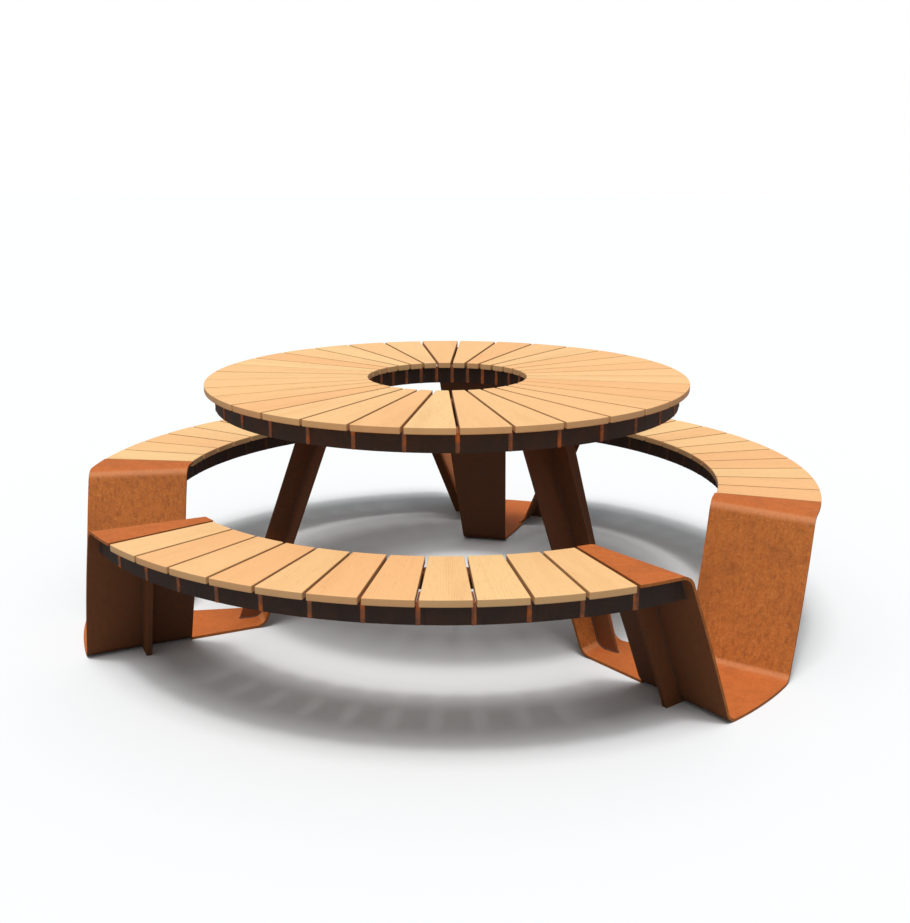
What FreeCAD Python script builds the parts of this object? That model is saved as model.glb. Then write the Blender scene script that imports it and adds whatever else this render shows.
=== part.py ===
import FreeCAD, Part
import math
import os

# Round picnic table for outdoor public use. A ring-shaped slatted top and three curved slatted
# benches stand on three folded plates of weathering steel.
#
# Frame: the origin is on the floor under the middle of the table top and +Z is up. The rear support
# stands on +Y, the right one at -30 degrees and the left one at 210 degrees. The benches are centred
# half way between the supports, so the front bench is on -Y. Lengths are millimetres, angles degrees.

# ---- Driving dimensions: heights and radii ----
SEAT_HEIGHT = 450.0
TABLE_HEIGHT = 763.0
TABLE_RADIUS = 770.0
HOLE_RADIUS = 256.0
BENCH_OUTER_RADIUS = 1179.0
BENCH_INNER_RADIUS = 871.5

# ---- Slats ----
SLAT_THICKNESS = 20.0
SLAT_GAP = 9.0
TABLE_SLATS = 33
SLATS_PER_GROUP = 11
BENCH_SLATS = 11
BENCH_SPAN = 72.0
TOP_TURN = -1.0                 # the top's gaps lie this far round from the supports' centre lines

# ---- Steel frames under the slats ----
BAND_HEIGHT = 56.0
BAND_THICKNESS = 8.0
BAND_INSET = 32.0               # from the slat ends to the face of the band
FIN_THICKNESS = 8.0
FIN_PROUD = 1.5                 # from the face of the band to the tips of the fins
OUTER_FIN_LENGTH = 74.0
INNER_FIN_LENGTH = 48.0
END_RIB_PLACE = SLAT_GAP / 2 + FIN_THICKNESS / 2    # from the gap line to the middle of a bench's end rib
LAP_CLEARANCE = 0.25            # each side of the half-lap joint between band and fin

# ---- Screw tabs and wood screws ----
TAB_LENGTH = 34.0
TAB_WIDTH = 26.0
TAB_THICKNESS = 5.0
SCREW_RADIUS = 2.5
SCREW_HEAD_RADIUS = 5.5
SCREW_HEAD_HEIGHT = 3.0
SCREW_BITE = 14.0               # depth of the screw in the wood
SCREW_HOLE_RADIUS = 2.8
SCREW_HOLE_SPARE = 1.0          # depth of the hole past the screw's point
FLANGE_SCREW_RADIUS = 440.0     # of the screws from the table legs' flanges into the slats

# ---- Folded supports ----
SUPPORTS = {"rear": 90.0, "right": -30.0, "left": 210.0}
SUPPORT_SPAN = 120.0 - BENCH_SPAN
PLATE = 8.0
BEND_RADIUS = 36.0              # inside radius of every fold
PLAN_FLARE = 0.155              # the folds move apart by this much per unit of radius
FLARE_RADIUS = 1000.0           # radius at which the half widths below are given
LEG_HALF_AT_FLOOR = 134.0
LEG_HALF_AT_SEAT = 316.0
BASE_HALF = 135.0
LEG_INNER_RADIUS = 867.0
TABLE_LEG_FOOT = 632.0          # radius of the table leg's middle at the floor
TABLE_LEG_LEAN = 243.0 / 690.0  # inward travel per unit of height
TABLE_LEG_HALF_TOP = 125.0
TOP_FLANGE_LENGTH = 110.0

# ---- Ribs and end plates of the supports ----
BENCH_RIB_THICKNESS = 15.0
BENCH_RIB_DEPTH = 60.0
BENCH_RIB_RADIUS = 1000.0
LEG_RIB_THICKNESS = 10.0
LEG_RIB_DEPTH = 62.0
LEG_RIB_FILLET = 12.0
LEG_RIB_END_GAP = 2.0
END_PLATE = 8.0

# ---- Bolts ----
BOLT_RADIUS = 5.0
BOLT_HOLE_RADIUS = 5.5
BOLT_FLATS = 16.0
BOLT_HEAD = 6.4
NUT_HEIGHT = 8.0
BOLT_TAIL = 3.0
BENCH_BOLT_RADII = (965.0, 1085.0)
TABLE_BOLT_RADIUS = 697.0
TABLE_BOLT_SPACING = 22.0
TABLE_BOLT_PLAY = 0.5           # between a nut and the slanting face of the fin

# ---- Worked out from the above ----
BENCHES = {"front": -90.0, "right": 30.0, "left": 150.0}
TABLE_PITCH = 360.0 / TABLE_SLATS
BENCH_PITCH = BENCH_SPAN / BENCH_SLATS
UNDER_TABLE = TABLE_HEIGHT - SLAT_THICKNESS
UNDER_SEAT = SEAT_HEIGHT - SLAT_THICKNESS
UNDER_WEDGE = SEAT_HEIGHT - PLATE
SEAT_BAND_LOW = UNDER_SEAT - BAND_HEIGHT
TABLE_BAND_LOW = UNDER_TABLE - BAND_HEIGHT
MIDDLE_BEND = BEND_RADIUS + PLATE / 2
FLARE_ANGLE = math.atan(PLAN_FLARE)
REACH = 400.0                   # overlength of blanks that are trimmed afterwards
MARGIN = 5.0                    # overlap of cutting tools past the faces they cut
AXIS = FreeCAD.Vector(0, 0, 1)
ORIGIN = FreeCAD.Vector(0, 0, 0)


# ---- Building blocks ----
def spin(shape, degrees):
    """A copy of the shape, turned about the table's axis."""
    turned = shape.copy()
    turned.rotate(ORIGIN, AXIS, degrees)
    return turned


def polar(radius, degrees, z):
    """The point at this radius, azimuth and height."""
    angle = math.radians(degrees)
    return FreeCAD.Vector(radius * math.cos(angle), radius * math.sin(angle), z)


def shifted(degrees, offset, radius):
    """Azimuth, at a radius, of a line parallel to a radial line and offset from it."""
    return degrees + math.degrees(math.asin(offset / radius))


def panel(inner, outer, start, start_offset, end, end_offset, low, high):
    """Upright-sided panel between two radii and two sides, each parallel to a radial line."""
    a = polar(inner, shifted(start, start_offset, inner), low)
    b = polar(outer, shifted(start, start_offset, outer), low)
    c = polar(outer, shifted(end, end_offset, outer), low)
    d = polar(inner, shifted(end, end_offset, inner), low)
    outer_middle = (shifted(start, start_offset, outer) + shifted(end, end_offset, outer)) / 2
    inner_middle = (shifted(start, start_offset, inner) + shifted(end, end_offset, inner)) / 2
    edges = [
        Part.LineSegment(a, b).toShape(),
        Part.Arc(b, polar(outer, outer_middle, low), c).toShape(),
        Part.LineSegment(c, d).toShape(),
        Part.Arc(d, polar(inner, inner_middle, low), a).toShape(),
    ]
    return Part.Face(Part.Wire(edges)).extrude(FreeCAD.Vector(0, 0, high - low))


def bar(inner, outer, width, degrees, low, high):
    """Radial bar of constant width, with ends curved about the table's axis."""
    return panel(inner, outer, degrees, -width / 2, degrees, width / 2, low, high)


def tube(inner, outer, low, high):
    """Full ring about the table's axis."""
    base = FreeCAD.Vector(0, 0, low)
    return Part.makeCylinder(outer, high - low, base).cut(Part.makeCylinder(inner, high - low, base))


def prism(points, thickness_vector):
    """Polygon of 3-D points, extruded."""
    return Part.Face(Part.makePolygon(points + [points[0]])).extrude(thickness_vector)


def folded_section(corners, place):
    """Section of a folded plate, from the corners of its middle line; place maps to 3-D points."""
    half = PLATE / 2
    sides = {1: [], -1: []}
    points = [FreeCAD.Vector(x, y, 0) for x, y in corners]
    steps = [(b - a).normalize() for a, b in zip(points, points[1:])]
    lefts = [FreeCAD.Vector(-d.y, d.x, 0) for d in steps]
    for side, edges in sides.items():
        here = points[0] + lefts[0] * (side * half)
        for i, corner in enumerate(points[1:-1]):
            turn = math.atan2(steps[i].cross(steps[i + 1]).z, steps[i].dot(steps[i + 1]))
            reach = MIDDLE_BEND * math.tan(abs(turn) / 2)
            sign = math.copysign(1, turn)
            start = corner - steps[i] * reach
            end = corner + steps[i + 1] * reach
            centre = start + lefts[i] * (sign * MIDDLE_BEND)
            crown = centre + (corner - centre).normalize() * (MIDDLE_BEND - side * sign * half)
            start = start + lefts[i] * (side * half)
            end = end + lefts[i + 1] * (side * half)
            edges.append(("line", here, start))
            edges.append(("arc", start, crown, end))
            here = end
        edges.append(("line", here, points[-1] + lefts[-1] * (side * half)))
    caps = [("line", sides[1][-1][2], sides[-1][-1][2]), ("line", sides[1][0][1], sides[-1][0][1])]
    shapes = []
    for kind, *ends in sides[1] + sides[-1] + caps:
        placed = [place(p.x, p.y) for p in ends]
        shapes.append((Part.Arc(*placed) if kind == "arc" else Part.LineSegment(*placed)).toShape())
    return Part.Face(Part.Wire(Part.__sortEdges__(shapes)))


def outermost(shape, direction):
    """The one solid of a cut shape that lies furthest along a direction."""
    return max(shape.Solids, key=lambda solid: solid.CenterOfMass.dot(direction))


def largest(shape):
    """The biggest solid of a cut shape."""
    return max(shape.Solids, key=lambda solid: solid.Volume)


def mirrored(shape):
    """The shape mirrored in the plane of X and Z."""
    return shape.mirror(ORIGIN, FreeCAD.Vector(0, 1, 0))


def save(name, solids):
    """Write one node, after checking each of its solids."""
    for solid in solids:
        if not solid.isValid() or solid.Volume <= 0 or len(solid.Solids) != 1:
            raise ValueError(name + " is not made of single valid solids")
    shape = solids[0] if len(solids) == 1 else Part.makeCompound(solids)
    shape.exportStep("parts/" + name + ".step")
    print(name, len(solids), round(shape.Volume / 1000.0), "cm3")


# ---- Fasteners ----
def screw_at(radius, degrees, head_face):
    """Wood screw pointing up, with its head's upper face at the given height."""
    spot = polar(radius, degrees, head_face)
    head = Part.makeCylinder(SCREW_HEAD_RADIUS, SCREW_HEAD_HEIGHT, spot, -AXIS)
    shank = Part.makeCylinder(SCREW_RADIUS, TAB_THICKNESS + SCREW_BITE, spot)
    return head.fuse(shank).removeSplitter()


def screw_hole(radius, degrees, low, high):
    """Upright cutting tool for a wood screw."""
    return Part.makeCylinder(SCREW_HOLE_RADIUS, high - low, polar(radius, degrees, low))


def hexagon(spot, direction, height):
    """Hexagonal bar standing on a point."""
    size = BOLT_FLATS / math.sqrt(3)
    corners = []
    for k in range(6):
        angle = math.radians(60 * k)
        corners.append(FreeCAD.Vector(size * math.cos(angle), size * math.sin(angle), 0))
    shape = prism(corners, AXIS * height)
    shape.Placement = FreeCAD.Placement(spot, FreeCAD.Rotation(AXIS, direction))
    return shape


def bolt(spot, direction, grip):
    """Hexagon bolt: its head bears at the point and its shank runs along the direction."""
    head = hexagon(spot, -direction, BOLT_HEAD)
    shank = Part.makeCylinder(BOLT_RADIUS, grip + NUT_HEIGHT + BOLT_TAIL, spot, direction)
    return head.fuse(shank).removeSplitter()


def nut(spot, direction):
    """Hexagon nut bearing at the point, bored for the bolt."""
    body = hexagon(spot, direction, NUT_HEIGHT)
    return body.cut(Part.makeCylinder(BOLT_RADIUS, NUT_HEIGHT, spot, direction))


def bolt_hole(spot, direction, depth):
    """Cutting tool for a bolt, centred on the point."""
    return Part.makeCylinder(BOLT_HOLE_RADIUS, depth, spot - direction * (depth / 2), direction)


# ---- Slatted ring or arc: slats, bands, fins, tabs and screws ----
def lap_joint(band, fins, inner, outer, low):
    """Half-lap: the band is slotted from above, the fins from below."""
    middle = low + BAND_HEIGHT / 2
    top = low + BAND_HEIGHT + MARGIN
    wide = FIN_THICKNESS + 2 * LAP_CLEARANCE
    slots = [bar(inner - MARGIN, outer + MARGIN, wide, angle, middle, top) for angle in fins]
    notch = tube(inner - LAP_CLEARANCE, outer + LAP_CLEARANCE, low - MARGIN, middle + LAP_CLEARANCE)
    return band.cut(Part.makeCompound(slots)), notch


def slat(inner, outer, degrees, pitch, top, screw_radii):
    """One tapered board, with blind holes for its screws."""
    low = top - SLAT_THICKNESS
    half = pitch / 2
    board = panel(inner, outer, degrees - half, SLAT_GAP / 2, degrees + half, -SLAT_GAP / 2, low, top)
    for radius in screw_radii:
        board = board.cut(screw_hole(radius, degrees, low - MARGIN, low + SCREW_BITE + SCREW_HOLE_SPARE))
    return board


def tab(inner, outer, degrees, slat_underside, screw_radius):
    """Flat tab under a slat, welded to the band and drilled for one screw."""
    low = slat_underside - TAB_THICKNESS
    plate = bar(inner, outer, TAB_WIDTH, degrees, low, slat_underside)
    return plate.cut(screw_hole(screw_radius, degrees, low - MARGIN, slat_underside + MARGIN))


OUTER_BAND_TABLE = TABLE_RADIUS - BAND_INSET
INNER_BAND_TABLE = HOLE_RADIUS + BAND_INSET
OUTER_BAND_BENCH = BENCH_OUTER_RADIUS - BAND_INSET
INNER_BAND_BENCH = BENCH_INNER_RADIUS + BAND_INSET
TABLE_SCREWS = (INNER_BAND_TABLE + BAND_THICKNESS + TAB_LENGTH / 2,
                OUTER_BAND_TABLE - BAND_THICKNESS - TAB_LENGTH / 2)
BENCH_SCREWS = (INNER_BAND_BENCH + BAND_THICKNESS + TAB_LENGTH / 2,
                OUTER_BAND_BENCH - BAND_THICKNESS - TAB_LENGTH / 2)


def table_gap_angles():
    """Azimuth of each gap between slats of the top, starting at the rear support."""
    return [SUPPORTS["rear"] + TOP_TURN + k * TABLE_PITCH for k in range(TABLE_SLATS)]


def flange_slat_angles():
    """Azimuths of the slats that are also screwed to the table legs, two beside each support."""
    first = [degrees + TOP_TURN - TABLE_PITCH / 2 for degrees in SUPPORTS.values()]
    return first + [angle + TABLE_PITCH for angle in first]


def near(angle, others):
    """Whether an azimuth is one of a list of azimuths."""
    return any(abs((angle - other + 180) % 360 - 180) < 1.0 for other in others)


def make_table_top():
    """Slats, two rings, fins, tabs and screws of the table top."""
    gaps = table_gap_angles()
    middles = [angle + TABLE_PITCH / 2 for angle in gaps]
    flange_slats = flange_slat_angles()
    slats = []
    for angle in middles:
        screws = TABLE_SCREWS + ((FLANGE_SCREW_RADIUS,) if near(angle, flange_slats) else ())
        slats.append(slat(HOLE_RADIUS, TABLE_RADIUS, angle, TABLE_PITCH, TABLE_HEIGHT, screws))
    for k, name in enumerate(("left", "front", "right")):
        save("table_slats_" + name, slats[k * SLATS_PER_GROUP:(k + 1) * SLATS_PER_GROUP])

    outer = OUTER_BAND_TABLE
    ring = tube(outer - BAND_THICKNESS, outer, TABLE_BAND_LOW, UNDER_TABLE)
    ring, notch = lap_joint(ring, gaps, outer - BAND_THICKNESS, outer, TABLE_BAND_LOW)
    save("table_outer_band", [ring])
    tip = outer + FIN_PROUD
    blank = bar(tip - OUTER_FIN_LENGTH, tip, FIN_THICKNESS, 0, TABLE_BAND_LOW, UNDER_TABLE).cut(notch)
    fins = [spin(blank, angle) for angle in gaps]
    bolted = [near(angle - TOP_TURN, SUPPORTS.values()) for angle in gaps]
    fins = [table_fin_drilled(fin, angle) if held else fin
            for fin, angle, held in zip(fins, gaps, bolted)]
    save("table_outer_fins", fins)

    inner = INNER_BAND_TABLE
    ring = tube(inner, inner + BAND_THICKNESS, TABLE_BAND_LOW, UNDER_TABLE)
    ring, notch = lap_joint(ring, gaps, inner, inner + BAND_THICKNESS, TABLE_BAND_LOW)
    save("table_inner_band", [ring])
    tip = inner - FIN_PROUD
    blank = bar(tip, tip + INNER_FIN_LENGTH, FIN_THICKNESS, 0, TABLE_BAND_LOW, UNDER_TABLE).cut(notch)
    save("table_inner_fins", [spin(blank, angle) for angle in gaps])

    end = outer - BAND_THICKNESS
    blank = tab(end - TAB_LENGTH, end, 0, UNDER_TABLE, TABLE_SCREWS[1])
    save("table_outer_tabs", [spin(blank, angle) for angle in middles])
    start = inner + BAND_THICKNESS
    blank = tab(start, start + TAB_LENGTH, 0, UNDER_TABLE, TABLE_SCREWS[0])
    save("table_inner_tabs", [spin(blank, angle) for angle in middles])

    under_tab = UNDER_TABLE - TAB_THICKNESS
    screws = [screw_at(radius, angle, under_tab) for angle in middles for radius in TABLE_SCREWS]
    under_flange = UNDER_TABLE - PLATE
    screws += [screw_at(FLANGE_SCREW_RADIUS, angle, under_flange) for angle in flange_slats]
    save("table_slat_screws", screws)


def make_bench(name, degrees):
    """Slats, two bands, fins, end ribs, tabs and screws of one bench."""
    half = BENCH_SPAN / 2
    gaps = [-half + k * BENCH_PITCH for k in range(1, BENCH_SLATS)]
    middles = [-half + (k + 0.5) * BENCH_PITCH for k in range(BENCH_SLATS)]
    prefix = name + "_bench_"
    slats = [slat(BENCH_INNER_RADIUS, BENCH_OUTER_RADIUS, angle, BENCH_PITCH, SEAT_HEIGHT, BENCH_SCREWS)
             for angle in middles]
    save(prefix + "slats", [spin(board, degrees) for board in slats])

    band_end = END_RIB_PLACE - FIN_THICKNESS / 2
    fins = []
    faces = {"outer": (OUTER_BAND_BENCH - BAND_THICKNESS, OUTER_BAND_BENCH),
             "inner": (INNER_BAND_BENCH, INNER_BAND_BENCH + BAND_THICKNESS)}
    outer_tip = OUTER_BAND_BENCH + FIN_PROUD
    inner_tip = INNER_BAND_BENCH - FIN_PROUD
    reach = {"outer": (outer_tip - OUTER_FIN_LENGTH, outer_tip),
             "inner": (inner_tip, inner_tip + INNER_FIN_LENGTH)}
    for place, (near_face, far_face) in faces.items():
        band = panel(near_face, far_face, -half, -band_end, half, band_end, SEAT_BAND_LOW, UNDER_SEAT)
        band, notch = lap_joint(band, gaps, near_face, far_face, SEAT_BAND_LOW)
        save(prefix + place + "_band", [spin(band, degrees)])
        start, end = reach[place]
        blank = bar(start, end, FIN_THICKNESS, 0, SEAT_BAND_LOW, UNDER_SEAT).cut(notch)
        fins += [spin(blank, degrees + angle) for angle in gaps]
    save(prefix + "fins", fins)

    rib = panel(inner_tip, outer_tip, 0, band_end, 0, band_end + FIN_THICKNESS, SEAT_BAND_LOW, UNDER_WEDGE)
    for radius in BENCH_BOLT_RADII:
        rib = rib.cut(seat_bolt_hole(radius))
    save(prefix + "end_ribs", [spin(rib, degrees + half), spin(mirrored(rib), degrees - half)])

    tabs = []
    outer_end = OUTER_BAND_BENCH - BAND_THICKNESS
    inner_end = INNER_BAND_BENCH + BAND_THICKNESS
    outer_tab = tab(outer_end - TAB_LENGTH, outer_end, 0, UNDER_SEAT, BENCH_SCREWS[1])
    inner_tab = tab(inner_end, inner_end + TAB_LENGTH, 0, UNDER_SEAT, BENCH_SCREWS[0])
    for angle in middles:
        tabs += [spin(outer_tab, degrees + angle), spin(inner_tab, degrees + angle)]
    save(prefix + "tabs", tabs)
    under_tab = UNDER_SEAT - TAB_THICKNESS
    save(prefix + "slat_screws",
         [screw_at(radius, degrees + angle, under_tab) for angle in middles for radius in BENCH_SCREWS])


# ---- Bolts between a bench and the supports, in the frame of the gap line beside the bench ----
def seat_bolt_spot(radius, across):
    """Point on a seat bolt's axis; across is measured from the gap line."""
    return FreeCAD.Vector(radius, across, SEAT_BAND_LOW + BAND_HEIGHT / 2)


def seat_bolt_hole(radius):
    """Cutting tool through the bench's end rib and the support's end plate."""
    return bolt_hole(seat_bolt_spot(radius, 0), FreeCAD.Vector(0, 1, 0), 6 * END_PLATE)


# ---- Bolts between a table leg's rib and the fin beside it, in the support's frame ----
def table_bolt_spots(across):
    """The two bolt centres, one above the other."""
    middle = TABLE_BAND_LOW + BAND_HEIGHT / 2
    half = TABLE_BOLT_SPACING / 2
    return [FreeCAD.Vector(TABLE_BOLT_RADIUS, across, middle + side * half) for side in (-1, 1)]


def table_fin_drilled(fin, gap_angle):
    """The fin beside a table leg's rib, drilled square to the rib."""
    for spot in table_bolt_spots(0):
        hole = bolt_hole(spot, FreeCAD.Vector(0, 1, 0), 10 * FIN_THICKNESS)
        fin = fin.cut(spin(hole, gap_angle - TOP_TURN))
    return fin


# ---- Supports, in a frame with +X along the support's centre line ----
def base_half_width(radius):
    """Half the width of the base plate at this distance along the centre line."""
    return BASE_HALF + PLAN_FLARE * (radius - FLARE_RADIUS)


def fold_frame():
    """Unit vectors along and across the folds of the bench leg on the +Y side."""
    along = FreeCAD.Vector(math.cos(FLARE_ANGLE), math.sin(FLARE_ANGLE), 0)
    return along, FreeCAD.Vector(-along.y, along.x, 0)


def fold_offset(half_width):
    """Distance of a fold line from the table's axis, across the folds."""
    return FreeCAD.Vector(FLARE_RADIUS, half_width, 0).dot(fold_frame()[1])


def leg_across(z):
    """Position of the bench leg's middle line across the folds, at a height."""
    low = fold_offset(LEG_HALF_AT_FLOOR)
    high = fold_offset(LEG_HALF_AT_SEAT)
    return low + (high - low) * z / SEAT_HEIGHT


def make_bench_leg():
    """Base, bench leg and seat wedge on the +Y side, before trimming to the radii."""
    along, across = fold_frame()
    floor_level = PLATE / 2
    seat_level = SEAT_HEIGHT - PLATE / 2
    corners = [
        (leg_across(floor_level) - REACH, floor_level),
        (leg_across(floor_level), floor_level),
        (leg_across(seat_level), seat_level),
        (leg_across(seat_level) + REACH, seat_level),
    ]
    start = along * (BENCH_INNER_RADIUS - REACH)
    section = folded_section(corners, lambda w, z: start + across * w + AXIS * z)
    blank = section.extrude(along * (2 * REACH + BENCH_OUTER_RADIUS - BENCH_INNER_RADIUS))
    half_space = Part.makeBox(4 * REACH, 4 * REACH, 2 * SEAT_HEIGHT)
    return blank.common(half_space)


def table_leg_middle(z):
    """Distance of the table leg's middle line from the table's axis, at a height."""
    return TABLE_LEG_FOOT - TABLE_LEG_LEAN * z


def make_table_leg():
    """Inner base, table leg and top flange, trimmed to their tapering widths."""
    floor_level = PLATE / 2
    top_level = UNDER_TABLE - PLATE / 2
    corners = [
        (BENCH_INNER_RADIUS + REACH, floor_level),
        (table_leg_middle(floor_level), floor_level),
        (table_leg_middle(top_level), top_level),
        (table_leg_middle(top_level) + TOP_FLANGE_LENGTH, top_level),
    ]
    section = folded_section(corners, lambda u, z: FreeCAD.Vector(u, -REACH / 2, z))
    blank = section.extrude(FreeCAD.Vector(0, REACH, 0))
    lean = math.atan(TABLE_LEG_LEAN)
    bend_start = table_leg_middle(floor_level) + MIDDLE_BEND * math.tan((math.pi / 2 - lean) / 2)
    floor_half = base_half_width(bend_start)
    end = BENCH_INNER_RADIUS + MARGIN
    plan = [
        FreeCAD.Vector(bend_start, -floor_half, -MARGIN),
        FreeCAD.Vector(end, -base_half_width(end), -MARGIN),
        FreeCAD.Vector(end, base_half_width(end), -MARGIN),
        FreeCAD.Vector(bend_start, floor_half, -MARGIN),
    ]
    front = [
        FreeCAD.Vector(0, -floor_half, -MARGIN),
        FreeCAD.Vector(0, floor_half, -MARGIN),
        FreeCAD.Vector(0, TABLE_LEG_HALF_TOP, UNDER_TABLE + MARGIN),
        FreeCAD.Vector(0, -TABLE_LEG_HALF_TOP, UNDER_TABLE + MARGIN),
    ]
    base = blank.common(prism(plan, AXIS * (PLATE + 2 * MARGIN)))
    base = base.common(Part.makeCylinder(LEG_INNER_RADIUS, SEAT_HEIGHT, AXIS * -MARGIN))
    leg = blank.common(prism(front, FreeCAD.Vector(bend_start, 0, 0)))
    return base.fuse(leg)


def make_support_plate():
    """The whole folded plate: base, two bench legs with their seat wedges, and the table leg."""
    side = SUPPORT_SPAN / 2
    outline = panel(LEG_INNER_RADIUS, BENCH_OUTER_RADIUS, -side, SLAT_GAP / 2, side, -SLAT_GAP / 2,
                    -MARGIN, SEAT_HEIGHT + MARGIN)
    bench_leg = make_bench_leg()
    legs = bench_leg.fuse(mirrored(bench_leg)).common(outline)
    plate = legs.fuse(make_table_leg()).removeSplitter()
    for angle in (TOP_TURN - TABLE_PITCH / 2, TOP_TURN + TABLE_PITCH / 2):
        low = UNDER_TABLE - PLATE - MARGIN
        plate = plate.cut(screw_hole(FLANGE_SCREW_RADIUS, angle, low, UNDER_TABLE + MARGIN))
    return plate


def make_bench_rib(plate):
    """Stiffener under the bench leg on the +Y side, from the floor to the seat wedge."""
    along, across = fold_frame()
    spot = FreeCAD.Vector(BENCH_RIB_RADIUS, LEG_HALF_AT_FLOOR, 0)
    corner = along * (spot.dot(along) - BENCH_RIB_THICKNESS / 2)
    slant = PLATE / 2 + BENCH_RIB_DEPTH
    points = [
        corner + across * (leg_across(0) - slant),
        corner + across * (leg_across(0) + slant),
        corner + across * (leg_across(UNDER_WEDGE) + slant) + AXIS * UNDER_WEDGE,
        corner + across * (leg_across(UNDER_WEDGE) - slant) + AXIS * UNDER_WEDGE,
    ]
    return outermost(prism(points, along * BENCH_RIB_THICKNESS).cut(plate), across)


def make_leg_rib(plate):
    """Stiffener on the outer face of the table leg, with a level arm under the table top."""
    lean = math.atan(TABLE_LEG_LEAN)
    depth = (PLATE / 2 + LEG_RIB_DEPTH) / math.cos(lean)
    arm_end = OUTER_BAND_TABLE - BAND_THICKNESS - LEG_RIB_END_GAP
    low = TABLE_BAND_LOW
    high = UNDER_TABLE - PLATE
    turn = math.pi / 2 + lean
    reach = LEG_RIB_FILLET * math.tan(turn / 2)
    corner = FreeCAD.Vector(table_leg_middle(low) + depth, 0, low)
    down = FreeCAD.Vector(math.sin(lean), 0, -math.cos(lean))
    arc_start = corner + down * reach
    arc_end = corner + FreeCAD.Vector(reach, 0, 0)
    bisector = (down + FreeCAD.Vector(1, 0, 0)).normalize()
    to_centre = LEG_RIB_FILLET / math.cos(turn / 2)
    arc_middle = corner + bisector * (to_centre - LEG_RIB_FILLET)
    foot = FreeCAD.Vector(table_leg_middle(PLATE) + depth, 0, PLATE)
    inner_foot = FreeCAD.Vector(table_leg_middle(PLATE), 0, PLATE)
    inner_top = FreeCAD.Vector(table_leg_middle(high), 0, high)
    edges = [
        Part.LineSegment(inner_foot, foot).toShape(),
        Part.LineSegment(foot, arc_start).toShape(),
        Part.Arc(arc_start, arc_middle, arc_end).toShape(),
        Part.LineSegment(arc_end, FreeCAD.Vector(arm_end, 0, low)).toShape(),
        Part.LineSegment(FreeCAD.Vector(arm_end, 0, low), FreeCAD.Vector(arm_end, 0, high)).toShape(),
        Part.LineSegment(FreeCAD.Vector(arm_end, 0, high), inner_top).toShape(),
        Part.LineSegment(inner_top, inner_foot).toShape(),
    ]
    blank = Part.Face(Part.Wire(edges)).extrude(FreeCAD.Vector(0, LEG_RIB_THICKNESS, 0))
    blank.translate(FreeCAD.Vector(0, -LEG_RIB_THICKNESS / 2, 0))
    rib = largest(blank.cut(plate))
    for spot in table_bolt_spots(0):
        rib = rib.cut(bolt_hole(spot, FreeCAD.Vector(0, 1, 0), 4 * LEG_RIB_THICKNESS))
    return rib


def make_seat_brackets(plate):
    """Box under the seat wedge on the +Y side: two curved cheeks and the end plate across their ends."""
    side = SUPPORT_SPAN / 2
    join = -(END_RIB_PLACE + FIN_THICKNESS / 2)
    cheek_end = join - END_PLATE
    cheeks = []
    for inner in (INNER_BAND_BENCH, OUTER_BAND_BENCH - BAND_THICKNESS):
        blank = panel(inner, inner + BAND_THICKNESS, 0, 0, side, cheek_end, SEAT_BAND_LOW, UNDER_WEDGE)
        cheeks.append(outermost(blank.cut(plate), FreeCAD.Vector(0, 1, 0)))
    start = INNER_BAND_BENCH - FIN_PROUD
    end = OUTER_BAND_BENCH + FIN_PROUD
    end_plate = panel(start, end, side, cheek_end, side, join, SEAT_BAND_LOW, UNDER_WEDGE)
    for radius in BENCH_BOLT_RADII:
        end_plate = end_plate.cut(spin(seat_bolt_hole(radius), side))
    return cheeks, end_plate


def make_support(name, degrees, plate):
    """One support with its ribs and seat brackets."""
    save(name + "_support_plate", [spin(plate, degrees)])
    rib = make_bench_rib(plate)
    cheeks, end_plate = make_seat_brackets(plate)
    for hand, sign in (("ccw", 1), ("cw", -1)):
        pieces = [rib] + cheeks + [end_plate]
        if sign < 0:
            pieces = [mirrored(piece) for piece in pieces]
        pieces = [spin(piece, degrees) for piece in pieces]
        save(name + "_support_" + hand + "_rib", pieces[:1])
        save(name + "_support_" + hand + "_cheeks", pieces[1:3])
        save(name + "_support_" + hand + "_end_plate", pieces[3:])
    save(name + "_table_leg_rib", [spin(make_leg_rib(plate), degrees)])


def make_bench_bolts():
    """Bolts and nuts that hold the benches' end ribs to the supports' end plates."""
    grip = FIN_THICKNESS + END_PLATE
    bolts = []
    nuts = []
    for degrees in BENCHES.values():
        for side in (1, -1):
            line = degrees + side * BENCH_SPAN / 2
            outward = FreeCAD.Vector(0, side, 0)
            for radius in BENCH_BOLT_RADII:
                start = seat_bolt_spot(radius, side * (END_RIB_PLACE - FIN_THICKNESS / 2))
                bolts.append(spin(bolt(start, outward, grip), line))
                nuts.append(spin(nut(start + outward * grip, outward), line))
    save("bench_bolts", bolts)
    save("bench_nuts", nuts)


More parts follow.
